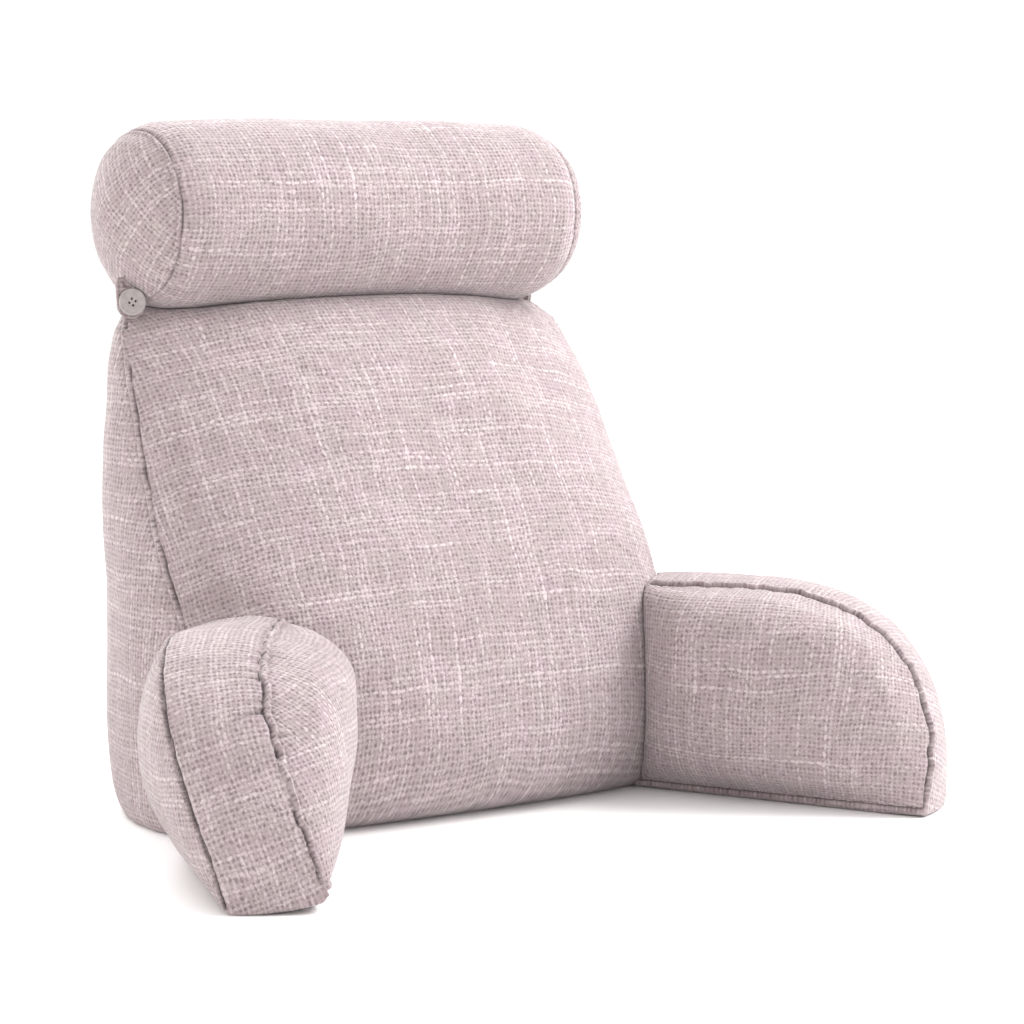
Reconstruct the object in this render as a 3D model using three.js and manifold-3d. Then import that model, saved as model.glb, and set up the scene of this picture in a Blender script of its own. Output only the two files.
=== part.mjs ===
// Reading pillow with arms: a filled wedge backrest with two D-shaped arms, and a
// neck roll that two buttoned tabs hold on top. Millimetres, +Z up, front towards -Y.
import * as THREE from 'three';
import { mergeVertices } from 'three/addons/utils/BufferGeometryUtils.js';
import Module from 'manifold-3d';

const wasm = await Module();
wasm.setup();

// ---- driving dimensions ----------------------------------------------------------
const GAP = 0.55;                   // clearance between pieces that touch

// Backrest: one row for each level of its seams, from the floor to the top seam.
// seamX seamY seamZ = the seam between front and side panel (right side),
// crownY crownZ     = the front panel at the middle of the back,
// rearX rearY rearZ = the edge between side and back panel,
// backY             = the back panel at its middle,
// side              = how far the side panel swells past its two edges,
// dome              = 2 domes the front panel as a parabola, more makes it flatter.
const BACKREST_ROWS = [
  // level, seamX, seamY, seamZ, crownY, crownZ, rearX, rearY, rearZ, backY, side, dome
  [0.00, 242, -96, 0, -118, 0, 205, 106, 0, 118, 29, 2.4],
  [0.03, 247, -104, 12, -140, 9, 208, 114, 12, 129, 32, 2.4],
  [0.10, 250, -108, 48, -164, 44, 210, 120, 48, 140, 32, 2.4],
  [0.24, 252, -100, 108, -166, 112, 211, 122, 108, 148, 32, 3.6],
  [0.40, 250, -73, 180, -142, 194, 210, 122, 180, 150, 29, 5.4],
  [0.55, 252, -34, 250, -101, 272, 209, 121, 250, 148, 25, 4.6],
  [0.72, 244, 6, 325, -58, 352, 207, 118, 325, 141, 21, 3.4],
  [0.86, 236, 35, 384, -20, 411, 204, 112, 383, 130, 16, 2.8],
  [0.96, 222, 67, 425, 22, 444, 205, 103, 425, 115, 7, 2.4],
  [1.00, 200, 86, 435, 84, 452, 204, 92, 436, 102, 2, 2.4],
];
const FRONT_FULLNESS = 0.9;         // less than 1 makes the front panel rise faster at its seams
const BACK_SWELL = { power: 2.2, fullness: 0.9 };
const BACKREST_GRID = { levels: 17, front: 20, side: 6, back: 14 };

// Neck roll: half is the middle to the seam of the end cap, shoulder the length over
// which the barrel draws in to it, lift how far the filling has raised the tip of the
// cap, and a cap of power 2 is an ellipse, less is pointed.
const ROLL_RADIUS = 81.7;
const ROLL_CENTRE = [0, 69.3, 513.9];
const ROLL_ENDS = {
  left: { half: 206.3, seamRadius: 73, shoulder: 31, capDepth: 36, capPower: 1.45, lift: 6 },
  right: { half: 208.5, seamRadius: 73.3, shoulder: 28, capDepth: 28, capPower: 2.1, lift: 0 },
};
const ROLL_PLUMP = { at: -60, spread: 80, by: 2 };      // where the filling has gathered
const ROLL_GRID = { around: 34, along: 15, cap: 4 };

// Arms: the inner seam is a D in the arm's own plane, s forward and z up.
const ARM_ROOT = [191, -117.5];     // where the inner face meets the front panel, at the floor
const ARM_ROOT_LEAN = 0.057;        // the root follows the front panel forward as it rises
const ARM_SPLAY = 23;               // degrees outwards at the floor
const ARM_TWIST = 0.08;             // more degrees outwards for each millimetre up
const ARM_LENGTH = 277;
const ARM_TOP = 186;                // height of the top seam
const ARM_SEAM_FOOT = 9.5;          // height of the bottom seam
const ARM_STRAIGHT = 87;            // straight part of the top before it rounds over
const ARM_ROUND_POWER = 2.35;       // 2 rounds the tip as an ellipse, more makes it squarer
const ARM_BURIED = 40;              // length that is cut away inside the backrest
const ARM_TUCK = 8;                 // length behind the root where the faces stop swelling
const ARM_STRIP = 78;               // width of the boxing strip between its seams
const ARM_STRIP_CROWN = 6;          // how far the strip swells past its seams
const ARM_OUTER_SHORTER = 0.957;    // the outer panel is a little shorter than the inner one
const ARM_OUTER_SAG = { by: 4, below: 40 };      // its bottom seam lies lower on the floor
const ARM_DROP_WITHIN = 130;        // length over which its top seam sinks towards the root
const ARM_CORNER_WITHIN = 50;       // size of the tip's inner corner, which lifts off the floor
const ARM_HABITS = { left: { drop: 11, corner: 9 }, right: { drop: 0, corner: 1.5 } };
const ARM_FACES = {                 // swells most at s, and at this part of its height there
  inner: { swell: 65, s: 84, rise: 0.78, fullness: { above: 0.4, below: 0.6 } },
  outer: { swell: 34, s: 98, rise: 0.46, fullness: { above: 0.85, below: 0.7 } },
};
const ARM_FULLNESS = { root: 0.85, tip: 0.68 };  // how the faces dome along their length
const ARM_UNDER = 0.13;             // share of the strip that wraps from a bottom seam to the floor
const ARM_STRIP_RINGS = [0.03, 0.08, 0.16, 0.33, 0.5, 0.67, 0.84, 0.92, 0.97];
const ARM_GRID = { buriedEnd: 7, top: 7, tip: 20, foot: 14, face: 8 };

// Tabs and buttons: centre is the middle of the button's face, and turn is the way it
// faces, in degrees from straight ahead. The right tab is pulled round towards the back.
const FASTENINGS = {
  left: { centre: [-221, 56.4, 440.3], turn: -13 },
  right: { centre: [224, 92, 437], turn: 72 },
};
const BUTTON_SPIN = 18;             // degrees about its own axis
const BUTTON_RADIUS = 11.6;
const BUTTON_THICK = 3.6;
const BUTTON_EDGE = 0.7;            // rounding of the outer edge
const BUTTON_RIM = 1.6;
const BUTTON_DISH = 0.7;            // depth of the face inside the rim
const HOLE_RADIUS = 1.1;
const HOLE_SPREAD = 2.9;            // button centre to the middle of each hole
const TAB_WIDTH = 25;
const TAB_THICK = 3;
const TAB_PATH = [                  // behind the button's face, and above its centre
  [13.6, 27], [10.8, 19], [7.8, 10], [5.8, 0], [5.6, -14.5],
];
const TAB_STEPS = 14;

const COLOURS = { cloth: 0xc4b1b6, button: 0xaea6a2 };

// ---- helpers ---------------------------------------------------------------------
const mix = THREE.MathUtils.lerp;
const radians = THREE.MathUtils.degToRad;
const swellAt = (u, { power, fullness }) => (1 - Math.abs(u) ** power) ** fullness;

// A closed solid from rings of points, each ring the same length, with fans at both ends.
function ringSolid(rings, start, end) {
  const points = [start, ...rings.flat(), end];
  const size = rings[0].length;
  const at = (ring, k) => 1 + ring * size + (k % size);
  const index = [];
  for (let k = 0; k < size; k++) {
    index.push(0, at(0, k + 1), at(0, k));
    index.push(points.length - 1, at(rings.length - 1, k), at(rings.length - 1, k + 1));
    for (let ring = 0; ring + 1 < rings.length; ring++) {
      index.push(at(ring, k), at(ring, k + 1), at(ring + 1, k + 1));
      index.push(at(ring, k), at(ring + 1, k + 1), at(ring + 1, k));
    }
  }
  const geometry = new THREE.BufferGeometry().setFromPoints(points);
  geometry.setIndex(index);
  return mergeVertices(geometry, 0.01);
}

function toManifold(geometry) {
  return new wasm.Manifold(new wasm.Mesh({
    numProp: 3,
    vertProperties: new Float32Array(geometry.attributes.position.array),
    triVerts: new Uint32Array(geometry.index.array),
  }));
}

function fromManifold(solid) {
  const { vertProperties, triVerts } = solid.getMesh();
  const geometry = new THREE.BufferGeometry();
  geometry.setAttribute('position', new THREE.BufferAttribute(vertProperties, 3));
  geometry.setIndex(new THREE.BufferAttribute(triVerts, 1));
  return geometry;
}

// The same solid pushed out along its normals, to cut its neighbour with clearance.
function grown(geometry, by) {
  const copy = geometry.clone();
  copy.computeVertexNormals();
  const { position, normal } = copy.attributes;
  for (let i = 0; i < position.count; i++) {
    position.setXYZ(
      i,
      position.getX(i) + by * normal.getX(i),
      position.getY(i) + by * normal.getY(i),
      position.getZ(i) + by * normal.getZ(i),
    );
  }
  return copy;
}

function cutBy(geometry, ...tools) {
  const cut = tools.reduce((solid, tool) => solid.subtract(toManifold(tool)), toManifold(geometry));
  return fromManifold(cut);
}

// ---- backrest --------------------------------------------------------------------
const backrestRows = new THREE.CubicInterpolant(
  BACKREST_ROWS.map((row) => row[0]),
  BACKREST_ROWS.flatMap((row) => row.slice(1)),
  BACKREST_ROWS[0].length - 1,
);

function backrestRing(level) {
  const [seamX, seamY, seamZ, crownY, crownZ, rearX, rearY, rearZ, backY, side, dome] =
    backrestRows.evaluate(level);
  const ring = [];
  const { front, side: sideSteps, back } = BACKREST_GRID;
  for (let k = 0; k < front; k++) {
    const u = mix(-1, 1, k / front);
    const w = swellAt(u, { power: dome, fullness: FRONT_FULLNESS });
    ring.push(new THREE.Vector3(u * seamX, mix(seamY, crownY, w), mix(seamZ, crownZ, w)));
  }
  for (let k = 0; k < sideSteps; k++) {
    const t = k / sideSteps;
    const x = mix(seamX, rearX, t) + side * 4 * t * (1 - t);
    ring.push(new THREE.Vector3(x, mix(seamY, rearY, t), mix(seamZ, rearZ, t)));
  }
  for (let k = 0; k < back; k++) {
    const u = mix(1, -1, k / back);
    ring.push(new THREE.Vector3(u * rearX, mix(rearY, backY, swellAt(u, BACK_SWELL)), rearZ));
  }
  for (let k = 0; k < sideSteps; k++) {
    const t = 1 - k / sideSteps;
    const x = mix(seamX, rearX, t) + side * 4 * t * (1 - t);
    ring.push(new THREE.Vector3(-x, mix(seamY, rearY, t), mix(seamZ, rearZ, t)));
  }
  return ring;
}

function backrestGeometry() {
  const rings = [];
  for (let k = 0; k <= BACKREST_GRID.levels; k++) {
    const even = k / BACKREST_GRID.levels;
    const crowded = (1 - Math.cos(Math.PI * even)) / 2;      // closer at the foot and the top
    rings.push(backrestRing(mix(even, crowded, 0.6)));
  }
  const top = rings[rings.length - 1];
  const crest = top.reduce((sum, p) => sum.add(p), new THREE.Vector3()).divideScalar(top.length);
  return ringSolid(rings, new THREE.Vector3(0, 0, 0), crest);
}

// ---- neck roll -------------------------------------------------------------------
function rollRadius(x) {
  const end = x < 0 ? ROLL_ENDS.left : ROLL_ENDS.right;
  const past = Math.abs(x) - end.half;
  if (past > 0) {
    const t = Math.min(1, past / end.capDepth);
    return end.seamRadius * (1 - t ** end.capPower) ** (1 / end.capPower);
  }
  const drawnIn = Math.max(0, 1 + past / end.shoulder) ** 2.4;
  const plump = ROLL_PLUMP.by * Math.exp(-(((x - ROLL_PLUMP.at) / ROLL_PLUMP.spread) ** 2));
  return mix(ROLL_RADIUS, end.seamRadius, drawnIn) + plump;
}

function rollPoint(x, radius, turn) {
  const end = x < 0 ? ROLL_ENDS.left : ROLL_ENDS.right;
  const raised = end.lift * Math.max(0, Math.abs(x) - end.half) / end.capDepth;
  const [centreX, centreY, centreZ] = ROLL_CENTRE;
  return new THREE.Vector3(
    centreX + x,
    centreY + Math.cos(turn) * radius,
    centreZ + raised + Math.sin(turn) * radius,
  );
}

function rollGeometry() {
  const { left, right } = ROLL_ENDS;
  const { around, along, cap } = ROLL_GRID;
  const stations = [];
  for (let k = cap - 1; k > 0; k--) {
    stations.push(-left.half - left.capDepth * Math.sin((Math.PI / 2) * (k / cap)));
  }
  for (let k = 0; k <= along; k++) {
    stations.push(mix(-left.half, right.half, (1 - Math.cos((Math.PI * k) / along)) / 2));
  }
  for (let k = 1; k < cap; k++) {
    stations.push(right.half + right.capDepth * Math.sin((Math.PI / 2) * (k / cap)));
  }
  const rings = stations.map((x) => {
    const ring = [];
    for (let k = 0; k < around; k++) {
      ring.push(rollPoint(x, rollRadius(x), (2 * Math.PI * k) / around));
    }
    return ring;
  });
  const leftTip = rollPoint(-left.half - left.capDepth, 0, 0);
  const rightTip = rollPoint(right.half + right.capDepth, 0, 0);
  return ringSolid(rings, leftTip, rightTip);
}

// ---- arms ------------------------------------------------------------------------
// The D outline of a face panel, from the foot of the buried end up, over the tip and back.
function armOutline() {
  const { buriedEnd, top, tip, foot } = ARM_GRID;
  const points = [];
  const add = (s, z) => points.push(new THREE.Vector2(s, z));
  for (let k = 0; k < buriedEnd; k++) {
    add(-ARM_BURIED, mix(ARM_SEAM_FOOT, ARM_TOP, k / buriedEnd));
  }
  for (let k = 0; k < top; k++) {
    add(mix(-ARM_BURIED, ARM_STRAIGHT, k / top), ARM_TOP);
  }
  for (let k = 0; k < tip; k++) {
    const turn = (Math.PI / 2) * (k / tip);
    const power = 2 / ARM_ROUND_POWER;
    add(
      mix(ARM_STRAIGHT, ARM_LENGTH, Math.sin(turn) ** power),
      mix(ARM_SEAM_FOOT, ARM_TOP, Math.cos(turn) ** power),
    );
  }
  for (let k = 0; k < foot; k++) {
    add(mix(ARM_LENGTH, -ARM_BURIED, k / foot), ARM_SEAM_FOOT);
  }
  return points;
}

// A point of the right arm: s forward along the arm, n outwards across it, z up.
function armPoint(s, n, z, habit) {
  const splay = radians(ARM_SPLAY + ARM_TWIST * z);
  const across = THREE.MathUtils.clamp(n / ARM_STRIP, 0, 1);
  const sag = ARM_OUTER_SAG.by * across * Math.max(0, 1 - z / ARM_OUTER_SAG.below);
  const rootward = THREE.MathUtils.clamp(1 - s / ARM_DROP_WITHIN, 0, 1);
  const drop = habit.drop * (across * rootward * (z / ARM_TOP)) ** 2;
  const tipward = Math.max(0, 1 - (ARM_LENGTH - s) / ARM_CORNER_WITHIN);
  const low = Math.max(0, 1 - z / ARM_CORNER_WITHIN);
  const lift = habit.corner * (tipward * (1 - across)) ** 2 * low;
  return new THREE.Vector3(
    ARM_ROOT[0] + s * Math.sin(splay) + n * Math.cos(splay),
    ARM_ROOT[1] - ARM_ROOT_LEAN * z - s * Math.cos(splay) + n * Math.sin(splay),
    Math.max(0, z - sag - drop) + lift,
  );
}

function armTopAt(s) {
  const past = THREE.MathUtils.clamp((s - ARM_STRAIGHT) / (ARM_LENGTH - ARM_STRAIGHT), 0, 1);
  const share = (1 - past ** ARM_ROUND_POWER) ** (1 / ARM_ROUND_POWER);
  return mix(ARM_SEAM_FOOT, ARM_TOP, share);
}

// How far a face panel stands out at s, z: nothing along its seams, and most at its crown.
function faceSwell(face, s, z) {
  const height = Math.max(1, armTopAt(s) - ARM_SEAM_FOOT);
  const level = THREE.MathUtils.clamp((z - ARM_SEAM_FOOT) / height, 0, 1);
  const high = level > face.rise;
  const up = high ? (level - face.rise) / (1 - face.rise) : 1 - level / face.rise;
  const past = s - face.s;
  const along = past > 0 ? past / (ARM_LENGTH - face.s) : -past / (ARM_TUCK + face.s);
  const { above, below } = face.fullness;
  const dome = swellAt(up, { power: 2, fullness: high ? above : below });
  const fullness = past > 0 ? ARM_FULLNESS.tip : ARM_FULLNESS.root;
  return face.swell * dome * swellAt(Math.min(1, along), { power: 2, fullness });
}

// One ring of a face panel: its outline drawn in towards the crown, t = 1 at the seam.
function armFaceRing(outline, habit, face, n, outwards, t, stretch) {
  const crownZ = mix(ARM_SEAM_FOOT, ARM_TOP, face.rise);
  return outline.map((p) => {
    const s = mix(face.s, p.x, t);
    const z = mix(crownZ, p.y, t);
    return armPoint(s * stretch, n + outwards * faceSwell(face, s, z), z, habit);
  });
}

// One ring of the boxing strip: crowned over the top and the tip, flat on the floor below.
function armStripRing(outline, habit, t) {
  const crown = ARM_STRIP_CROWN * (1 - (2 * t - 1) ** 2) ** 0.6;
  const turned = Math.min(1, Math.min(t, 1 - t) / ARM_UNDER);
  const under = ARM_SEAM_FOOT * Math.sqrt(1 - (1 - turned) ** 2);
  const centre = new THREE.Vector2(ARM_LENGTH / 3, ARM_TOP / 2);
  return outline.map((p) => {
    const out = p.clone().sub(centre).normalize();
    const low = THREE.MathUtils.clamp(1 - (p.y - ARM_SEAM_FOOT) / 20, 0, 1);
    const s = p.x * mix(1, ARM_OUTER_SHORTER, t) + crown * out.x;
    return armPoint(s, ARM_STRIP * t, p.y + mix(crown * out.y, -under, low), habit);
  });
}

function armGeometry(habit) {
  const outline = armOutline();
  const { inner, outer } = ARM_FACES;
  const rings = [];
  for (let k = 1; k <= ARM_GRID.face; k++) {
    rings.push(armFaceRing(outline, habit, inner, 0, -1, k / ARM_GRID.face, 1));
  }
  for (const t of ARM_STRIP_RINGS) {
    rings.push(armStripRing(outline, habit, t));
  }
  for (let k = ARM_GRID.face; k > 0; k--) {
    const t = k / ARM_GRID.face;
    rings.push(armFaceRing(outline, habit, outer, ARM_STRIP, 1, t, ARM_OUTER_SHORTER));
  }
  const crown = (face, n, stretch) =>
    armPoint(face.s * stretch, n, mix(ARM_SEAM_FOOT, ARM_TOP, face.rise), habit);
  return ringSolid(
    rings,
    crown(inner, -inner.swell, 1),
    crown(outer, ARM_STRIP + outer.swell, ARM_OUTER_SHORTER),
  );
}

// ---- tabs and buttons ------------------------------------------------------------
// Both are made facing straight ahead, with the middle of the button's face at the origin.
function tabGeometry() {
  const path = new THREE.CatmullRomCurve3(TAB_PATH.map(([y, z]) => new THREE.Vector3(0, y, z)));
  const length = path.getLength();
  const across = new THREE.Vector3(1, 0, 0);
  const last = 0.995;
  const rings = [];
  for (let k = 0; k < TAB_STEPS; k++) {
    const t = (last * k) / (TAB_STEPS - 1);
    const out = new THREE.Vector3().crossVectors(across, path.getTangentAt(t));
    const intoEnd = Math.max(0, 1 - (length * (1 - t)) / (TAB_WIDTH / 2));
    const half = (TAB_WIDTH / 2) * Math.sqrt(1 - intoEnd ** 2);
    const corners = [[-1, 1], [0, 1], [1, 1], [1, -1], [0, -1], [-1, -1]];
    rings.push(corners.map(([w, h]) => path.getPointAt(t)
      .addScaledVector(across, w * half)
      .addScaledVector(out, (h * TAB_THICK) / 2)));
  }
  return ringSolid(rings, path.getPointAt(0), path.getPointAt(last));
}

function plainIndexed(geometry) {
  geometry.deleteAttribute('normal');
  geometry.deleteAttribute('uv');
  return mergeVertices(geometry, 0.001);
}

function buttonGeometry() {
  const half = BUTTON_THICK / 2;
  const rimIn = BUTTON_RADIUS - BUTTON_RIM;
  const profile = [
    [0, -half],
    [BUTTON_RADIUS - BUTTON_EDGE, -half],
    [BUTTON_RADIUS, BUTTON_EDGE - half],
    [BUTTON_RADIUS, half - BUTTON_EDGE],
    [BUTTON_RADIUS - BUTTON_EDGE, half],
    [rimIn, half],
    [rimIn - BUTTON_DISH, half - BUTTON_DISH],
    [0, half - BUTTON_DISH],
  ].map(([r, y]) => new THREE.Vector2(r, y));
  let solid = toManifold(plainIndexed(new THREE.LatheGeometry(profile, 28)));
  for (let k = 0; k < 4; k++) {
    const turn = (Math.PI / 2) * k;
    const drill = new THREE.CylinderGeometry(HOLE_RADIUS, HOLE_RADIUS, 2 * BUTTON_THICK, 8);
    drill.translate(HOLE_SPREAD * Math.cos(turn), 0, HOLE_SPREAD * Math.sin(turn));
    solid = solid.subtract(toManifold(plainIndexed(drill)));
  }
  return fromManifold(solid)
    .rotateY(radians(BUTTON_SPIN))
    .rotateX(Math.PI)
    .translate(0, half, 0);
}

function fastened(geometry, { centre, turn }) {
  return geometry.clone().rotateZ(radians(turn)).translate(...centre);
}

function mirrored(geometry) {
  const copy = geometry.clone().scale(-1, 1, 1);
  const index = Array.from(copy.index.array);
  for (let i = 0; i < index.length; i += 3) {
    [index[i], index[i + 1]] = [index[i + 1], index[i]];
  }
  copy.setIndex(index);
  return copy;
}

// ---- assembly --------------------------------------------------------------------
function piece(name, geometry, colour) {
  geometry.computeVertexNormals();
  const material = new THREE.MeshStandardMaterial({ color: colour, roughness: 0.95, metalness: 0 });
  const mesh = new THREE.Mesh(geometry, material);
  mesh.name = name;
  return mesh;
}

const roll = rollGeometry();
const backrest = backrestGeometry();
const armRight = armGeometry(ARM_HABITS.right);
const armLeft = mirrored(armGeometry(ARM_HABITS.left));
const backrestSpace = grown(backrest, GAP);
const rollSpace = grown(roll, GAP);

const pillow = new THREE.Group();
pillow.add(piece('backrest', cutBy(backrest, rollSpace), COLOURS.cloth));
pillow.add(piece('neck_roll', roll, COLOURS.cloth));
pillow.add(piece('arm_right', cutBy(armRight, backrestSpace), COLOURS.cloth));
pillow.add(piece('arm_left', cutBy(armLeft, backrestSpace), COLOURS.cloth));
for (const [side, place] of Object.entries(FASTENINGS)) {
  const tab = cutBy(fastened(tabGeometry(), place), backrestSpace, rollSpace);
  pillow.add(piece(`tab_${side}`, tab, COLOURS.cloth));
  pillow.add(piece(`button_${side}`, fastened(buttonGeometry(), place), COLOURS.button));
}

const box = new THREE.Box3().setFromObject(pillow);
pillow.position.set(-(box.min.x + box.max.x) / 2, -(box.min.y + box.max.y) / 2, 0);

export default pillow;
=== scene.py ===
"""The looks of a reading pillow with arms: filled covers, seams, button tabs and buttons."""

import math

import bpy
import numpy as np
from mathutils import Matrix, Vector, kdtree
from mathutils.bvhtree import BVHTree


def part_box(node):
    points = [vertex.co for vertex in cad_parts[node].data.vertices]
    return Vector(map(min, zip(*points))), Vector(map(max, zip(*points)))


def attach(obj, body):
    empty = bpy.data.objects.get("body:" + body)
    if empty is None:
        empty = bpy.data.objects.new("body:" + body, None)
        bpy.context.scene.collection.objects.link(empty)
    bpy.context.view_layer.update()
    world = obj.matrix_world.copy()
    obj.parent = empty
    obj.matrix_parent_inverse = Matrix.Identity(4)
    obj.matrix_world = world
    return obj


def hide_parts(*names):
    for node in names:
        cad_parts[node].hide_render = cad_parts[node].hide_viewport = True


bl_info = {
    "name": "Reading pillow with arms",
    "version": (1, 0, 0),
    "blender": (4, 5, 0),
    "location": "View3D > Sidebar > Pillow",
    "description": "Sews the covers of a reading pillow round its solids",
    "category": "Object",
}

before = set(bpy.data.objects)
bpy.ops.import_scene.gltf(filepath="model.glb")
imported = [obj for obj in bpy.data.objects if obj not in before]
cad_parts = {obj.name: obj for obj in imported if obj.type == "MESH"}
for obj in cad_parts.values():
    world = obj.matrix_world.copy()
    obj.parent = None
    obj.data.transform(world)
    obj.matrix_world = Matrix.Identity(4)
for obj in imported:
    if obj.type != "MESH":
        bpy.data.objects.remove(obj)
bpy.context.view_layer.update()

MM = 0.001
TURN = 2 * math.pi

# The solids were drawn in millimetres from a zero of their own; ORIGIN is where it lies.
ROLL_AXIS = np.array([0.0, 69.3, 513.9])
roll_low, roll_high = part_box("neck_roll")
ORIGIN = np.array([0.0, (roll_low.y + roll_high.y) / 2 - ROLL_AXIS[1] * MM, 0.0])

# Backrest, from the floor up: seamX seamY seamZ, crownY crownZ, rearX rearY rearZ, dome
BACKREST_LEVELS = np.array([0, 0.03, 0.10, 0.24, 0.40, 0.55, 0.72, 0.86, 0.96, 1.0])
BACKREST_ROWS = np.array([
    [242, -96, 0, -118, 0, 205, 106, 0, 2.4],
    [247, -104, 12, -140, 9, 208, 114, 12, 2.4],
    [250, -108, 48, -164, 44, 210, 120, 48, 2.4],
    [252, -100, 108, -166, 112, 211, 122, 108, 3.6],
    [250, -73, 180, -142, 194, 210, 122, 180, 5.4],
    [252, -34, 250, -101, 272, 209, 121, 250, 4.6],
    [244, 6, 325, -58, 352, 207, 118, 325, 3.4],
    [236, 35, 384, -20, 411, 204, 112, 383, 2.8],
    [222, 67, 425, 22, 444, 205, 103, 425, 2.4],
    [200, 86, 435, 84, 452, 204, 92, 436, 2.4],
])
FRONT_SLOPE = math.radians(28.8)

# Arms: s runs forward along the arm, n outwards across it and z up.
ARM_ROOT = (191.0, -117.5)
ARM_LEAN = 0.057
ARM_SPLAY = 23.0
ARM_TWIST = 0.08
ARM_LENGTH = 277.0
ARM_TOP = 186.0
ARM_FOOT = 9.5
ARM_STRAIGHT = 87.0
ARM_ROUND = 2.35
ARM_STRIP = 78.0
ARM_OUTER = 0.957
ARM_SAG = 4.0
ARM_SAG_BELOW = 40.0
ARM_DROP_WITHIN = 130.0
ARM_CORNER_WITHIN = 50.0
ARM_HABITS = {-1: dict(drop=11, corner=9), 1: dict(drop=0, corner=1.5)}
ARM_SEAM_START = -25

# Unfolding the arms' faces: s and z of the place that the cloth is spread from, n of the
# face's crown, and how far past the seams the cloth goes.
ARM_FACES = {"inner": (84, 147, -65), "outer": (98, 91, 112)}
ARM_UNFOLD_MARGIN = 14

# Neck roll: half length, radius at the seam and depth of the end cap.
ROLL_ENDS = {-1: (206.3, 73.0, 36.0), 1: (208.5, 73.3, 28.0)}
ROLL_WEAVE_RADIUS = 82
ROLL_UNFOLD_MARGIN = 14

# Buttons: the middle of the face, the way it looks in degrees from straight ahead.
FASTENINGS = {"left": ((-221.0, 56.4, 440.3), -13.0), "right": ((224.0, 92.0, 437.0), 72.0)}
TAB_PATH = [(13.6, 27), (10.8, 19), (7.8, 10), (5.2, 0), (5.2, -14.5)]
TAB_WIDTH = 25.0
TAB_THICK = 2.2
TAB_CLEAR = 1.6
TAB_HIDDEN = 7.0
TAB_NARROWING = 0.3
TAB_NARROW_ABOVE = 15
TAB_NARROW_OVER = 8
BUTTONHOLE = [(-6.6, 17.2), (-2.6, 12.4)]
BUTTON_BACK = 1.8
BUTTON_RIM = 1.8
BUTTON_RIM_SLOPE = 0.8
BUTTON_DISH = 0.6
BUTTON_EDGE = 0.7
BUTTON_HOLES = 4
BUTTON_HOLES_OUT = 2.9
BUTTON_HOLES_TURN = 12

# Covers. A seam's lengths are in millimetres, and the other lengths in metres. The shifts keep
# the panels of one cover, and the tabs, on different parts of the cloth.
SEAM_STEP = 0.5
SEAM_REACH = 45
HELD_AT_SEAM = (4, 14)
HELD_AT_FLOOR = (0.001, 0.006)
HELD_AT_NEIGHBOUR = (0.002, 0.008)
NEIGHBOUR_REACH = 0.02
FILL_SLACK = 0.002
FILL_FRAMES = 20
UNFOLD_ROUNDS = 900
UNFOLD_SPREAD = 0.7
SWELL_SIZES = (0.05, 0.07, 0.1, 0.15)
SWELL_ABOVE = (0.004, 0.03)
WANDER_PITCH = 31
ROPE_PITCH = 9
LOW_SEAM = (10, 24)
PANEL_SHIFT = 0.37
TAB_SHIFT = 1.7

# Stage: the camera in the solids' millimetres, the lamps in metres and watts.
CAMERA_AT = (-1581.0, -2348.4, 545.6)
CAMERA_AIM = (138.6, 0.0, 242.9)
SKY = 1.04
SOFT_BOXES = [
    ("right_box", (2.2, -2.2, 1.2), 32, (1.0, 0.97, 0.98)),
    ("high_box", (2.0, -0.8, 2.6), 125, (1.0, 1.0, 1.0)),
    ("rear_box", (0.0, 2.4, 2.4), 80, (1.0, 1.0, 1.0)),
    ("left_box", (-3.0, 0.2, 1.0), 26, (1.0, 0.93, 0.87)),
]
SOFT_BOX_SIZE = 2.0
SOFT_BOX_AIM = (0, 0, 0.3)


# ---- sizes and colours ------------------------------------------------------------
class PillowCover(bpy.types.PropertyGroup):
    grid: bpy.props.FloatProperty(
        name="Cloth grid", description="Size of the cover's faces before it is filled",
        default=0.005, unit="LENGTH")
    pressure: bpy.props.FloatProperty(
        name="Filling", description="How hard the filling pushes the cover out", default=4.0)
    give: bpy.props.FloatProperty(
        name="Give", description="The most that the cover moves off its pattern",
        default=0.003, unit="LENGTH")
    yarn: bpy.props.FloatProperty(
        name="Yarn pitch", description="From the middle of a yarn to the next",
        default=0.0042, unit="LENGTH")
    plain: bpy.props.FloatVectorProperty(
        name="Plain yarn", description="Colour of the plain yarns", subtype="COLOR",
        default=(0.325, 0.262, 0.268))
    slub: bpy.props.FloatVectorProperty(
        name="Slub yarn", description="Colour of the thick light yarns", subtype="COLOR",
        default=(0.64, 0.555, 0.565))
    # Colour of the painted shade in the gaps between the yarns and, darker, in the seams.
    gap: bpy.props.FloatVectorProperty(
        name="Gaps", description="Colour between the yarns", subtype="COLOR",
        default=(0.12, 0.085, 0.09))


class PillowButton(bpy.types.PropertyGroup):
    radius: bpy.props.FloatProperty(
        name="Radius", description="Radius of a button", default=0.0116, unit="LENGTH")
    thick: bpy.props.FloatProperty(
        name="Thickness", description="Thickness of a button", default=0.0036, unit="LENGTH")
    hole: bpy.props.FloatProperty(
        name="Hole", description="Radius of a sewing hole", default=0.0011, unit="LENGTH")
    colour: bpy.props.FloatVectorProperty(
        name="Colour", description="Colour of the buttons", subtype="COLOR",
        default=(0.33, 0.295, 0.285))


class PillowStage(bpy.types.PropertyGroup):
    floor: bpy.props.FloatVectorProperty(
        name="Floor", description="Colour of the floor", subtype="COLOR",
        default=(0.97, 0.97, 0.965))
    lens: bpy.props.FloatProperty(
        name="Lens", description="The camera's focal length in millimetres", default=112.94)


# ---- the solids' own coordinates --------------------------------------------------
def to_world(points):
    """Points in the solids' millimetres as points of the scene in metres."""
    return np.asarray(points, float) * MM + ORIGIN


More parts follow.
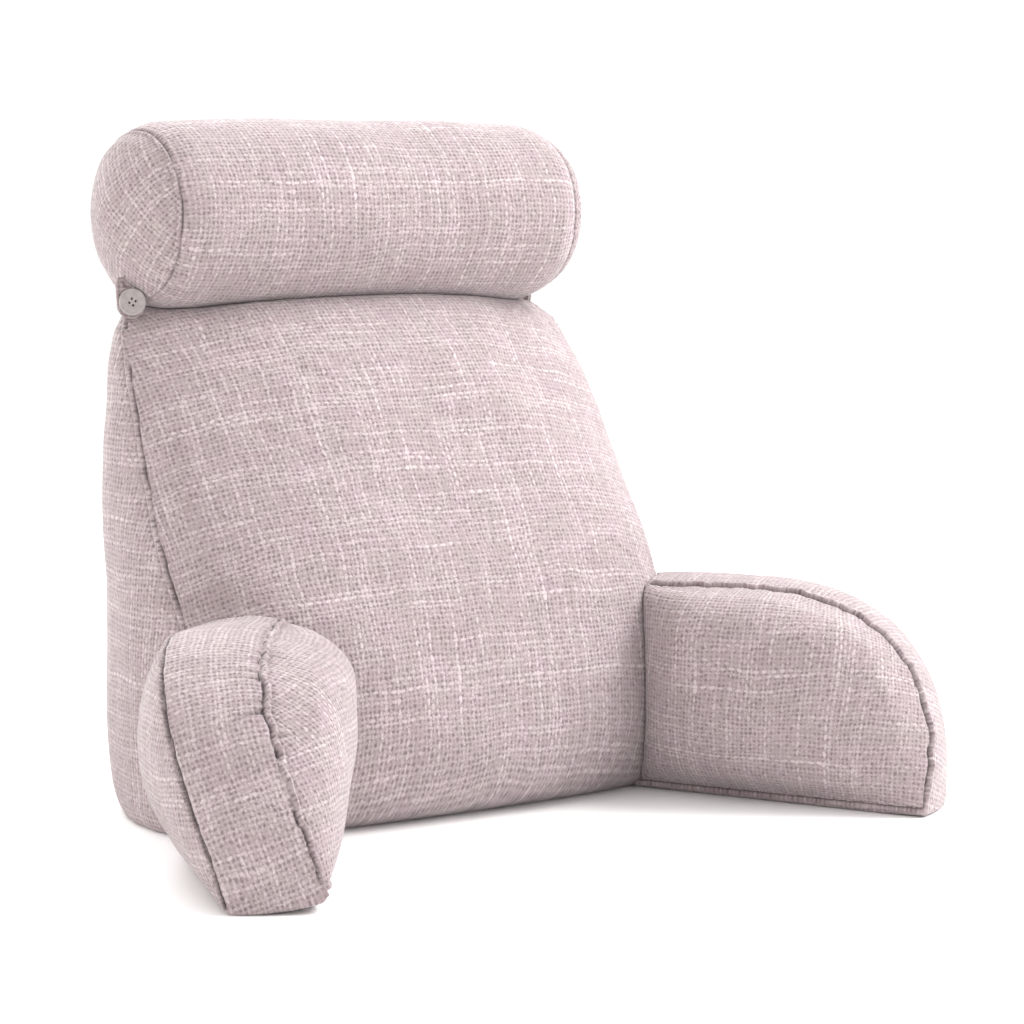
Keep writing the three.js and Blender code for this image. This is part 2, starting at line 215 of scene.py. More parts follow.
def to_solid(points):
    """Points of the scene in the solids' millimetres."""
    return (np.asarray(points, float) - ORIGIN) / MM


def backrest_row(level, column):
    return np.interp(level, BACKREST_LEVELS, BACKREST_ROWS[:, column])


def arm_point(s, n, z, side):
    """A point of an arm, with its sag, the drop of its outer root and its lifted corner."""
    splay = np.radians(ARM_SPLAY + ARM_TWIST * z)
    habit = ARM_HABITS[side]
    across = np.clip(n / ARM_STRIP, 0, 1)
    sag = ARM_SAG * across * np.maximum(0, 1 - z / ARM_SAG_BELOW)
    drop = habit["drop"] * (across * np.clip(1 - s / ARM_DROP_WITHIN, 0, 1) * z / ARM_TOP) ** 2
    tipward = np.maximum(0, 1 - (ARM_LENGTH - s) / ARM_CORNER_WITHIN)
    low = np.maximum(0, 1 - z / ARM_CORNER_WITHIN)
    lift = habit["corner"] * (tipward * (1 - across)) ** 2 * low
    return np.stack([
        side * (ARM_ROOT[0] + s * np.sin(splay) + n * np.cos(splay)),
        ARM_ROOT[1] - ARM_LEAN * z - s * np.cos(splay) + n * np.sin(splay),
        np.maximum(0, z - sag - drop) + lift,
    ], -1)


def arm_coordinates(points, side):
    """How far along an arm, across it and up each point is, without the sag, drop and lift."""
    x, y, z = points[:, 0] * side, points[:, 1], points[:, 2]
    splay = np.radians(ARM_SPLAY + ARM_TWIST * z)
    dx, dy = x - ARM_ROOT[0], y - ARM_ROOT[1] + ARM_LEAN * z
    return dx * np.sin(splay) - dy * np.cos(splay), dx * np.cos(splay) + dy * np.sin(splay), z


def arm_seam(side, n):
    """The D from the root's top over the tip and back along the floor."""
    turn = np.linspace(0, math.pi / 2, 120)
    s = ARM_STRAIGHT + (ARM_LENGTH - ARM_STRAIGHT) * np.sin(turn) ** (2 / ARM_ROUND)
    z = ARM_FOOT + (ARM_TOP - ARM_FOOT) * np.cos(turn) ** (2 / ARM_ROUND)
    s = np.concatenate([[ARM_SEAM_START], s, [ARM_SEAM_START]])
    z = np.concatenate([[ARM_TOP], z, [ARM_FOOT]])
    return arm_point(s * (ARM_OUTER if n > 0 else 1), float(n), z, side)


def roll_seam(side):
    half, radius = ROLL_ENDS[side][:2]
    turn = np.linspace(0, TURN, 200)
    return np.stack([np.full_like(turn, half * side), ROLL_AXIS[1] + radius * np.cos(turn),
                     ROLL_AXIS[2] + radius * np.sin(turn)], 1)


def backrest_seam(side, first):
    """The front seam is in the rows' columns from 0, and the rear one's from 5."""
    level = np.linspace(0, 1, 80)
    points = np.stack([backrest_row(level, first + k) for k in range(3)], 1)
    points[:, 0] *= side
    return points


def look_up(table, first, second, a, b):
    i = np.clip((a - first[0]) / (first[1] - first[0]), 0, len(first) - 1.001)
    j = np.clip((b - second[0]) / (second[1] - second[0]), 0, len(second) - 1.001)
    i0, j0 = i.astype(int), j.astype(int)
    fi, fj = i - i0, j - j0
    return ((table[i0, j0] * (1 - fi) + table[i0 + 1, j0] * fi) * (1 - fj)
            + (table[i0, j0 + 1] * (1 - fi) + table[i0 + 1, j0 + 1] * fi) * fj)


# ---- seams ------------------------------------------------------------------------
class Seam:
    """A sewn line: how far points lie from it, how far along it, and what it looks like."""

    def __init__(self, points, seed, is_beside, **look):
        points = np.asarray(points, float)
        steps = np.linalg.norm(np.diff(points, axis=0), axis=1)
        lengths = np.concatenate([[0], np.cumsum(steps)])
        self.along = np.linspace(0, lengths[-1], int(lengths[-1] / SEAM_STEP))
        samples = np.stack([np.interp(self.along, lengths, points[:, k]) for k in range(3)], 1)
        self.tree = kdtree.KDTree(len(samples))
        for index, point in enumerate(samples):
            self.tree.insert(point, index)
        self.tree.balance()
        self.length = lengths[-1]
        self.seed = seed
        self.is_beside = is_beside
        self.look = look

    def measure(self, points):
        found = [self.tree.find(p) for p in points]
        return np.array([f[2] for f in found]), self.along[[f[1] for f in found]]

    def pulls(self, distance, along):
        """Short creases that the stitches draw into the cloth on both sides of the seam."""
        look = self.look
        rng = np.random.default_rng(self.seed)
        total = np.zeros_like(along)
        place = 4.0
        while place < self.length:
            strong = look["pull"] * rng.uniform(0.25, 1.0)
            lengthways = look["reach"] * rng.uniform(0.5, 1.3)
            slant = look.get("slant", 0.0) + rng.uniform(-0.25, 0.25)
            wide = rng.uniform(1.8, 3.2)
            side = rng.choice([-1, 1]) if rng.random() < 0.5 else 0
            for centre, gain in look.get("knots", []):
                strong *= 1 + gain * math.exp(-((place - centre[0]) / centre[1]) ** 2)
            crease = np.exp(-((along - place - slant * np.abs(distance)) / wide) ** 2)
            crease *= np.exp(-(np.abs(distance) / lengthways) ** 1.5)
            if side:
                crease *= np.where(distance * side > 0, 1.0, 0.25)
            total -= strong * crease
            place += look["pitch"] * rng.uniform(0.5, 1.6)
        return total


def wave(along, seed, pitch):
    """An uneven wave along a seam, from -1 to 1."""
    rng = np.random.default_rng(seed)
    total = np.zeros_like(along)
    for share in (0.7, 1.0, 1.45, 2.1):
        total += np.sin(TURN * along / (pitch * share) + rng.uniform(0, TURN)) * 0.5
    return np.clip(total, -1, 1)


# ---- meshes -----------------------------------------------------------------------
def deselect():
    if bpy.context.object and bpy.context.object.mode != "OBJECT":
        bpy.ops.object.mode_set(mode="OBJECT")
    bpy.ops.object.select_all(action="DESELECT")


def activate(piece):
    deselect()
    piece.select_set(True)
    bpy.context.view_layer.objects.active = piece


def apply_modifiers(piece):
    activate(piece)
    for modifier in list(piece.modifiers):
        bpy.ops.object.modifier_apply(modifier=modifier.name)


def coordinates(mesh):
    co = np.empty(len(mesh.vertices) * 3, np.float32)
    mesh.vertices.foreach_get("co", co)
    return co.reshape(-1, 3).astype(float)


def set_coordinates(mesh, co):
    mesh.vertices.foreach_set("co", np.asarray(co, np.float32).ravel())
    mesh.update()


def normals(mesh):
    no = np.empty(len(mesh.vertices) * 3, np.float32)
    mesh.vertex_normals.foreach_get("vector", no)
    return no.reshape(-1, 3).astype(float)


def ramp(value, low, high):
    t = np.clip((value - low) / (high - low), 0, 1)
    return t * t * (3 - 2 * t)


def solid_tree(node):
    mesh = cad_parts[node].data
    return BVHTree.FromPolygons([v.co for v in mesh.vertices],
                                [tuple(p.vertices) for p in mesh.polygons])


# ---- filled covers ----------------------------------------------------------------
def cover_from_solid(node, name):
    """A copy of the solid as one closed mesh of even faces."""
    piece = bpy.data.objects.new(name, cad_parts[node].data.copy())
    bpy.context.scene.collection.objects.link(piece)
    piece.data.materials.clear()
    activate(piece)
    bpy.ops.object.mode_set(mode="EDIT")
    bpy.ops.mesh.select_all(action="SELECT")
    bpy.ops.mesh.remove_doubles(threshold=0.00002)
    bpy.ops.object.mode_set(mode="OBJECT")
    piece.data.remesh_voxel_size = bpy.context.scene.pillow_cover.grid
    bpy.ops.object.voxel_remesh()
    return piece


def nearness(points, neighbours):
    """1 within 2 mm of a neighbouring solid, and 0 from 8 mm off."""
    nearest = np.full(len(points), 1.0)
    for node in neighbours:
        tree = solid_tree(node)
        found = [tree.find_nearest(p, NEIGHBOUR_REACH) for p in points]
        nearest = np.minimum(nearest, [f[3] if f[0] else 1.0 for f in found])
    return 1 - ramp(nearest, *HELD_AT_NEIGHBOUR)


def fill(piece, seams, neighbours):
    """Blows the cover up with Cloth between its seams, and keeps it near its
    pattern."""
    settings = bpy.context.scene.pillow_cover
    co, no = coordinates(piece.data), normals(piece.data)
    held = nearness(co, neighbours)
    for seam in seams:
        held = np.maximum(held, 1 - ramp(seam.measure(to_solid(co))[0], *HELD_AT_SEAM))
    held = np.maximum(held, 1 - ramp(co[:, 2], *HELD_AT_FLOOR))
    set_coordinates(piece.data, co - no * (FILL_SLACK * (1 - held))[:, None])
    group = piece.vertex_groups.new(name="held")
    for index, weight in enumerate(held):
        if weight > 0.01:
            group.add([index], float(weight), "REPLACE")
    cloth = piece.modifiers.new("cloth", "CLOTH")
    cloth.settings.quality = 5
    cloth.settings.use_pressure = True
    cloth.settings.uniform_pressure_force = settings.pressure
    cloth.settings.tension_stiffness = 25
    cloth.settings.compression_stiffness = 25
    cloth.settings.bending_stiffness = 1.5
    cloth.settings.vertex_group_mass = group.name
    cloth.settings.effector_weights.gravity = 0
    for step in range(1, FILL_FRAMES + 1):
        bpy.context.scene.frame_set(step)
    apply_modifiers(piece)
    bpy.context.scene.frame_set(1)
    out = ((coordinates(piece.data) - co) * no).sum(1)
    out -= np.median(out[held < 0.05]) * (1 - held)
    out = np.clip(out, -settings.give, settings.give)
    set_coordinates(piece.data, co + no * out[:, None])
    piece.vertex_groups.clear()


def refine(piece, seams):
    """One subdivision of the whole cover, and one more of the cloth beside its seams."""
    subdivision = piece.modifiers.new("smooth", "SUBSURF")
    subdivision.levels = subdivision.render_levels = 1
    apply_modifiers(piece)
    co = to_solid(coordinates(piece.data))
    near = np.zeros(len(co), bool)
    for seam in seams:
        near |= seam.measure(co)[0] < seam.look.get("fine", 10)
    mesh = piece.data
    bpy.ops.object.mode_set(mode="EDIT")
    bpy.ops.mesh.select_mode(type="FACE")
    bpy.ops.mesh.select_all(action="DESELECT")
    bpy.ops.object.mode_set(mode="OBJECT")
    for polygon in mesh.polygons:
        polygon.select = all(near[v] for v in polygon.vertices)
    bpy.ops.object.mode_set(mode="EDIT")
    bpy.ops.mesh.subdivide(number_cuts=1, smoothness=0)
    bpy.ops.object.mode_set(mode="OBJECT")


def settle(piece, neighbours, by):
    """Broad, low swells of the filling, away from the floor and the neighbours."""
    co, no = coordinates(piece.data), normals(piece.data)
    rng = np.random.default_rng(len(piece.name))
    swell = np.zeros(len(co))
    for size in SWELL_SIZES:
        for _ in range(3):
            way = rng.normal(size=3)
            way *= TURN / size / np.linalg.norm(way)
            swell += np.sin(co @ way + rng.uniform(0, TURN)) * size / SWELL_SIZES[-1]
    free = (1 - nearness(co, neighbours)) * ramp(co[:, 2], *SWELL_ABOVE)
    set_coordinates(piece.data, co + no * (by * 0.3 * swell * free)[:, None])


def unfold(piece, name, chosen, start):
    """Lays the chosen part of the cover on flat cloth, from a start that fits roughly, until
    its edges are near their own length again. Keeps the places as an attribute."""
    mesh = piece.data
    solid = to_solid(coordinates(mesh))
    edges = np.empty(len(mesh.edges) * 2, np.int32)
    mesh.edges.foreach_get("vertices", edges)
    quads = np.array([tuple(p.vertices) for p in mesh.polygons if len(p.vertices) == 4])
    edges = np.concatenate([edges.reshape(-1, 2), quads[:, [0, 2]], quads[:, [1, 3]]])
    edges = edges[chosen[edges].all(1)]
    one, two = edges.T
    rest = np.linalg.norm(solid[two] - solid[one], axis=1)
    count = np.maximum(1, np.bincount(edges.ravel(), minlength=len(solid)))
    flat = start.copy()
    for _ in range(UNFOLD_ROUNDS):
        way = flat[two] - flat[one]
        pull = way * (0.55 * (1 - rest / np.maximum(0.01, np.linalg.norm(way, axis=1))))[:, None]
        for axis in (0, 1):
            moved = (np.bincount(one, pull[:, axis], len(solid))
                     - np.bincount(two, pull[:, axis], len(solid)))
            flat[:, axis] += 1.6 * moved / count
    attribute = mesh.attributes.new(name, "FLOAT_VECTOR", "POINT")
    values = np.concatenate([flat, np.zeros((len(flat), 1))], 1)
    attribute.data.foreach_set("vector", values.astype(np.float32).ravel())


def unfolded(mesh, name):
    """The places that unfold kept, after the cover was refined."""
    values = np.empty(len(mesh.vertices) * 3, np.float32)
    mesh.attributes[name].data.foreach_get("vector", values)
    return values.reshape(-1, 3)[:, 0], values.reshape(-1, 3)[:, 1]


def sew(piece, seams, neighbours):
    """Draws the cover in at each seam, raises the turned edge that lies beside it, and paints shade into
    the grooves and the pulled creases.
    """
    co, no = coordinates(piece.data), normals(piece.data)
    solid = to_solid(co)
    offset = np.zeros(len(co))
    shade = np.zeros(len(co))
    for seam in seams:
        look = seam.look
        distance, along = seam.measure(solid)
        close = distance < SEAM_REACH
        signed = np.where(seam.is_beside(solid), distance, -distance)
        signed, along_close = signed[close], along[close]
        low = (1 - ramp(solid[close][:, 2], *LOW_SEAM)) * (look.get("foot", 0) != 0)
        wander = look["wander"] * wave(along_close, seam.seed + 7, WANDER_PITCH) * (1 - low)
        signed = signed - wander + look.get("shift", 0) + look.get("foot", 0) * low
        rope = 1 + 0.14 * wave(along_close, seam.seed, ROPE_PITCH)
        groove = np.exp(-(signed / look["width"]) ** 2)
        ridge = np.exp(-((signed - look["ridge_at"]) / look["ridge_width"]) ** 2)
        far = look["ridge_at"] * 2
        back = np.exp(-((signed - far) / (0.8 * look["width"])) ** 2) * (1 - low)
        offset[close] += (look["ridge"] * ridge * rope * (1 - 0.6 * low)
                          - look["depth"] * groove * (1 - 0.3 * low)
                          - look["depth"] * 0.35 * back)
        pulls = seam.pulls(signed, along_close) * (1 - 0.8 * low)
        offset[close] += pulls
        # Painted shade: the colour darkens in the seam's groove, in the far groove beside the ridge and in
        # the creases that the stitches pull.
        line = np.exp(-(signed / (0.7 * look["width"])) ** 2) * look["dark"]
        line = np.maximum(line, np.exp(-((signed - far) / (0.5 * look["width"])) ** 2)
                          * look["dark"] * look.get("far_dark", 0.3) * (1 - low))
        line = np.maximum(line, np.clip(-pulls * 0.16, 0, 0.5))
        shade[close] = np.maximum(shade[close], line)
    free = 1 - nearness(co, neighbours)
    co = co + no * (offset * free * MM)[:, None]
    co[:, 2] = np.maximum(co[:, 2], 0)
    set_coordinates(piece.data, co)
    # seam_shade carries this painted shade to the cloth's colour.
    attribute = piece.data.attributes.new("seam_shade", "FLOAT", "POINT")
    attribute.data.foreach_set("value", shade.astype(np.float32))


def lay_weave(piece, panels):
    """UV map in metres of cloth. panels gives the number of each face's panel, and the place
    of every point on each panel's cloth."""
    mesh = piece.data
    count = len(mesh.polygons)
    centres = np.empty(count * 3, np.float32)
    mesh.polygons.foreach_get("center", centres)
    facing = np.empty(count * 3, np.float32)
    mesh.polygons.foreach_get("normal", facing)
    sizes = np.empty(count, np.int32)
    mesh.polygons.foreach_get("loop_total", sizes)
    corners = np.empty(len(mesh.loops), np.int32)
    mesh.loops.foreach_get("vertex_index", corners)
    which, places = panels(to_solid(centres.reshape(-1, 3).astype(float)), facing.reshape(-1, 3),
                           to_solid(coordinates(mesh)))
    which = np.repeat(which, sizes)
    uv = np.zeros((len(corners), 2))
    for index, (u, v) in enumerate(places):
        chosen = which == index
        uv[chosen] = (np.stack([u, v], 1) * MM + index * PANEL_SHIFT)[corners[chosen]]
    layer = mesh.uv_layers.new(name="weave")
    layer.data.foreach_set("uv", uv.astype(np.float32).ravel())


def finish_cover(piece, node):
    activate(piece)
    bpy.ops.object.shade_smooth()
    piece.data.materials.append(cloth_material())
    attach(piece, "root")
    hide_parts(node)


# dark and far_dark set how much painted shade goes into a seam's groove and its far groove.
ROPE = dict(depth=2.3, width=1.4, ridge=2.6, ridge_at=3.2, ridge_width=1.9, wander=0.9,
            pull=1.0, reach=13, pitch=13, dark=0.85, fine=11)
LINE = dict(depth=2.4, width=1.5, ridge=1.1, ridge_at=-3.0, ridge_width=1.8, wander=0.5,
            pull=0.7, reach=11, pitch=14, dark=0.9, fine=9)
CAP = dict(depth=1.7, width=1.3, ridge=0.6, ridge_at=2.6, ridge_width=1.6, wander=0.3,
           pull=0.45, reach=9, pitch=12, dark=0.75, fine=8)


def make_backrest():
    def is_front(points):
        level = np.interp(points[:, 2], BACKREST_ROWS[:, 2], BACKREST_LEVELS)
        return points[:, 1] < backrest_row(level, 1)

    def is_back(points):
        level = np.interp(points[:, 2], BACKREST_ROWS[:, 7], BACKREST_LEVELS)
        return points[:, 1] > backrest_row(level, 6)

    seams = [Seam(backrest_seam(side, 0), 11 + side, is_front, slant=0.5, **LINE)
             for side in (-1, 1)]
    seams += [Seam(backrest_seam(side, 5), 21 + side, is_back, **LINE) for side in (-1, 1)]
    neighbours = ("neck_roll", "arm_left", "arm_right")

    heights, shares = np.linspace(0, BACKREST_ROWS[-1, 4], 60), np.linspace(0, 1, 80)
    level = np.interp(heights, BACKREST_ROWS[:, 4], BACKREST_LEVELS)
    half, dome = backrest_row(level, 0)[:, None], backrest_row(level, 8)[:, None]
    deep = (backrest_row(level, 1) - backrest_row(level, 3))[:, None]
    swell = deep * (1 - shares[None, :] ** dome) ** 0.9
    slope = np.clip(np.gradient(swell, shares, axis=1) / half, -1.8, 1.8)
    widths = np.cumsum(np.sqrt(1 + slope ** 2), 1) * half * (shares[1] - shares[0])

    def front_place(p):
        half_here = np.interp(p[:, 2], heights, half[:, 0])
        wide = look_up(widths, heights, shares, p[:, 2], np.abs(p[:, 0]) / half_here)
        up = p[:, 2] * math.cos(FRONT_SLOPE) + p[:, 1] * math.sin(FRONT_SLOPE)
        return np.sign(p[:, 0]) * wide, up

    def panels(faces, facing, points):
        which = np.where(is_front(faces), 0, 1)
        which = np.where(is_back(faces), 2, which)
        which = np.where((faces[:, 2] < 1) & (facing[:, 2] < -0.7), 3, which)
        x, y, z = points.T
        return which, [front_place(points), (y * np.sign(x), z), (x, z), (x, y)]

    piece = cover_from_solid("backrest", "backrest_cover")
    fill(piece, seams, neighbours)
    refine(piece, seams)
    settle(piece, neighbours, 0.0016)
    sew(piece, seams, neighbours)
    lay_weave(piece, panels)
    finish_cover(piece, "backrest")


def make_arm(side, name):
    def inside(points):
        return arm_coordinates(points, side)[1] < 0

    def outside(points):
        return arm_coordinates(points, side)[1] > ARM_STRIP

    if side < 0:
        inner_look = {**ROPE, "wander": 1.4, "pull": 1.5, "reach": 16, "pitch": 10,
                      "knots": [((235, 55), 1.5), ((400, 40), -0.6)], "fine": 20, "foot": 0.5}
    else:
        inner_look = {**ROPE, "ridge_at": -3.2, "wander": 1.4, "far_dark": 0.45, "slant": 0.4,
                      "foot": 2.2}
    inner = Seam(arm_seam(side, 0), 31 + side, inside, **inner_look)
    outer = Seam(arm_seam(side, ARM_STRIP), 41 + side, outside,
                 **{**ROPE, "ridge": 1.6, "ridge_at": 2.8, "pull": 0.7, "wander": 0.5, "shift": 1.4})
    seams = [inner, outer]

    def flatten(piece):
        s, n, z = arm_coordinates(to_solid(coordinates(piece.data)), side)
        parts = {"inner": n < ARM_UNFOLD_MARGIN, "outer": n > ARM_STRIP - ARM_UNFOLD_MARGIN}
        for which, part in parts.items():
            s0, z0, crown = ARM_FACES[which]
            depth = n - crown if crown < 0 else crown - n
            away = np.maximum(1, np.hypot(s - s0, z - z0))
            out = (away + UNFOLD_SPREAD * depth) / away
            start = np.stack([s0 + (s - s0) * out, z0 + (z - z0) * out], 1)
            unfold(piece, which, part, start)

    def panels(faces, facing, points):
        which = np.where(inside(faces), 0, 1)
        mesh = piece.data
        return np.where(outside(faces), 2, which), [
            unfolded(mesh, "inner"),
            (arm_coordinates(points, side)[1], inner.measure(points)[1]),
            unfolded(mesh, "outer")]

    piece = cover_from_solid(name, f"{name}_cover")
    fill(piece, seams, ("backrest",))
    flatten(piece)
    refine(piece, seams)
    settle(piece, ("backrest",), 0.0012)
    sew(piece, seams, ("backrest",))
    lay_weave(piece, panels)
    finish_cover(piece, name)


def make_roll():
    def beyond(points):
        return np.where(points[:, 0] < 0, -points[:, 0] > ROLL_ENDS[-1][0],
                        points[:, 0] > ROLL_ENDS[1][0])

    seams = [Seam(roll_seam(side), 51 + side, beyond, **CAP) for side in (-1, 1)]

    def flatten(piece):
        x, y, z = to_solid(coordinates(piece.data)).T
        y, z = y - ROLL_AXIS[1], z - ROLL_AXIS[2]
        for side, (half, _, depth) in ROLL_ENDS.items():
            away = np.maximum(0.1, np.hypot(y, z))
            out = (away + UNFOLD_SPREAD * (half + depth - x * side)) / away
            start = np.stack([(z + side * y) * out, (z - side * y) * out], 1) / math.sqrt(2)
            unfold(piece, f"cap{side}", x * side > half - ROLL_UNFOLD_MARGIN, start)

    def panels(faces, facing, points):
        turn = np.arctan2(points[:, 2] - ROLL_AXIS[2], ROLL_AXIS[1] - points[:, 1])
        ends = beyond(faces) * np.where(faces[:, 0] < 0, 1, 2)
        mesh = piece.data
        barrel = points[:, 0], ROLL_WEAVE_RADIUS * turn
        return ends, [barrel, unfolded(mesh, "cap-1"), unfolded(mesh, "cap1")]

    piece = cover_from_solid("neck_roll", "neck_roll_cover")
    fill(piece, seams, ("backrest",))
    flatten(piece)
    refine(piece, seams)
    settle(piece, ("backrest",), 0.0012)
    sew(piece, seams, ("backrest",))
    lay_weave(piece, panels)
    finish_cover(piece, "neck_roll")


# ---- tabs and buttons -------------------------------------------------------------
def fastening_matrix(side):
    centre, turn = FASTENINGS[side]
    return Matrix.Translation(Vector(to_world(centre))) @ Matrix.Rotation(math.radians(turn), 4, "Z")


def make_tab(side):
    """A strap from under the roll, with a round end and a buttonhole. Each of its columns
    begins where it is clear of the roll and the backrest."""
    path = np.array(TAB_PATH, float)
    fine = np.linspace(0, len(path) - 1, 200)
    curve = np.stack([np.interp(fine, range(len(path)), path[:, k]) for k in (0, 1)], 1)
    for _ in range(40):
        curve[1:-1] = (curve[:-2] + curve[2:] + 2 * curve[1:-1]) / 4
    run = np.concatenate([[0], np.cumsum(np.linalg.norm(np.diff(curve, axis=0), axis=1))])
    length = run[-1]
    deselect()
    bpy.ops.mesh.primitive_grid_add(x_subdivisions=34, y_subdivisions=60, size=1)
    piece = bpy.context.object
    piece.name = f"tab_cover_{side}"
    mesh = piece.data
    flat = coordinates(mesh)
    half = TAB_WIDTH / 2
    matrix = fastening_matrix(side)
    trees = [solid_tree(node) for node in ("neck_roll", "backrest")]

    def place(share, down):
        into_end = np.clip(1 - (length - down) / half, 0, 0.985)
        across = share * 2 * half * np.sqrt(1 - into_end ** 2)
        high = np.clip((TAB_NARROW_ABOVE - down) / TAB_NARROW_OVER, 0, 1)
        across = across * (1 - TAB_NARROWING * high ** 2)
        return across, np.interp(down, run, curve[:, 0]), np.interp(down, run, curve[:, 1])

    def clearance(point):
        found = [tree.find_nearest(matrix @ Vector(point)) for tree in trees]
        return min(((matrix @ Vector(point)) - near).dot(normal) for near, normal, *_ in found)

    starts = {}
    for share in np.unique(flat[:, 0].round(5)):
        tries = np.linspace(0, length * 0.8, 60)
        bad = [t for t in tries if clearance(np.array(place(share, t)) * MM) < TAB_CLEAR * MM]
        starts[share] = max([TAB_HIDDEN, *bad])
    begin = np.array([starts[share] for share in flat[:, 0].round(5)])
    down = begin + (0.5 - flat[:, 1]) * (length - begin)
    local = np.stack(place(flat[:, 0], down), 1)
    across = local[:, 0]
    slit = np.array(BUTTONHOLE)
    way = (slit[1] - slit[0]) / np.linalg.norm(slit[1] - slit[0])
    rest = local[:, [0, 2]] - slit[0]
    along = np.clip(rest @ way, 0, np.linalg.norm(slit[1] - slit[0]))
    off = np.linalg.norm(rest - along[:, None] * way, axis=1)
    local[:, 1] += 0.9 * np.exp(-(off / 0.8) ** 2) - 0.5 * np.exp(-((off - 1.9) / 0.8) ** 2)
    placed = np.array([matrix @ Vector(p * MM) for p in local])
    set_coordinates(mesh, placed)
    corners = np.empty(len(mesh.loops), np.int32)
    mesh.loops.foreach_get("vertex_index", corners)
    layer = mesh.uv_layers.active or mesh.uv_layers.new(name="weave")
    layer.name = "weave"
    uv = np.stack([across, down], 1)[corners] * MM + TAB_SHIFT
    layer.data.foreach_set("uv", uv.astype(np.float32).ravel())
    # Painted shade in the buttonhole's slit, and a faint darker line 2.5 mm in from the tab's edge.
    shade = mesh.attributes.new("seam_shade", "FLOAT", "POINT")
    into_end = np.clip(1 - (length - down) / half, 0, 1)
    edge = np.minimum(half * np.sqrt(1 - into_end ** 2) - np.abs(across), length - down)
    dark = np.maximum(np.exp(-(off / 0.75) ** 2), 0.25 * np.exp(-((edge - 2.5) / 0.5) ** 2))
    shade.data.foreach_set("value", dark.astype(np.float32))
    thick = piece.modifiers.new("two layers", "SOLIDIFY")
    thick.thickness = TAB_THICK * MM
    thick.offset = 0
    apply_modifiers(piece)
    bpy.ops.object.mode_set(mode="EDIT")
    bpy.ops.mesh.select_all(action="SELECT")
    bpy.ops.mesh.normals_make_consistent(inside=False)
    bpy.ops.object.mode_set(mode="OBJECT")
    bpy.ops.object.shade_smooth()
    mesh.materials.append(cloth_material())
    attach(piece, "root")
    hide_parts(f"tab_{side}")


def model_button():
    """A flat button with a raised rim, four holes and rounded edges."""
    settings = bpy.context.scene.pillow_button
    radius, thick = settings.radius, settings.thick
    deselect()
    bpy.ops.mesh.primitive_cylinder_add(vertices=96, radius=radius, depth=thick)
    piece = bpy.context.object
    piece.name = "button_face_left"
    bpy.ops.object.mode_set(mode="EDIT")
    bpy.ops.mesh.select_mode(type="FACE")
    bpy.ops.mesh.select_all(action="DESELECT")
    bpy.ops.object.mode_set(mode="OBJECT")
    for polygon in piece.data.polygons:
        polygon.select = polygon.normal.z > 0.9
    bpy.ops.object.mode_set(mode="EDIT")
    bpy.ops.mesh.inset(thickness=BUTTON_RIM * MM)
    bpy.ops.mesh.inset(thickness=BUTTON_RIM_SLOPE * MM)
    bpy.ops.transform.translate(value=(0, 0, -BUTTON_DISH * MM))
    bpy.ops.mesh.inset(thickness=BUTTON_DISH * MM)
    bpy.ops.mesh.select_all(action="DESELECT")
    bpy.ops.object.mode_set(mode="OBJECT")
    bevel = piece.modifiers.new("edge", "BEVEL")
    bevel.width = BUTTON_EDGE * MM
    bevel.segments = 4
    bevel.limit_method = "ANGLE"
    bevel.angle_limit = math.radians(35)
    apply_modifiers(piece)
    out = BUTTON_HOLES_OUT * MM
    for k in range(BUTTON_HOLES):
        turn = math.radians(BUTTON_HOLES_TURN + 360 / BUTTON_HOLES * k)
        deselect()
        bpy.ops.mesh.primitive_cylinder_add(
            vertices=24, radius=settings.hole, depth=4 * thick,
            location=(out * math.cos(turn), out * math.sin(turn), 0))
        drill = bpy.context.object
        cut = piece.modifiers.new("hole", "BOOLEAN")
        cut.operation = "DIFFERENCE"
        cut.solver = "EXACT"
        cut.object = drill
        apply_modifiers(piece)
        bpy.data.objects.remove(drill)
    return piece


def make_buttons():
    left = model_button()
    right = bpy.data.objects.new("button_face_right", left.data.copy())
    bpy.context.scene.collection.objects.link(right)
    for side, piece in (("left", left), ("right", right)):
        back = Matrix.Translation((0, BUTTON_BACK * MM, 0))
        piece.data.transform(fastening_matrix(side) @ back @ Matrix.Rotation(math.radians(90), 4, "X"))
        activate(piece)
        bpy.ops.object.shade_smooth_by_angle(angle=math.radians(35))
        piece.data.materials.append(button_material())
        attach(piece, "root")
        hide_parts(f"button_{side}")


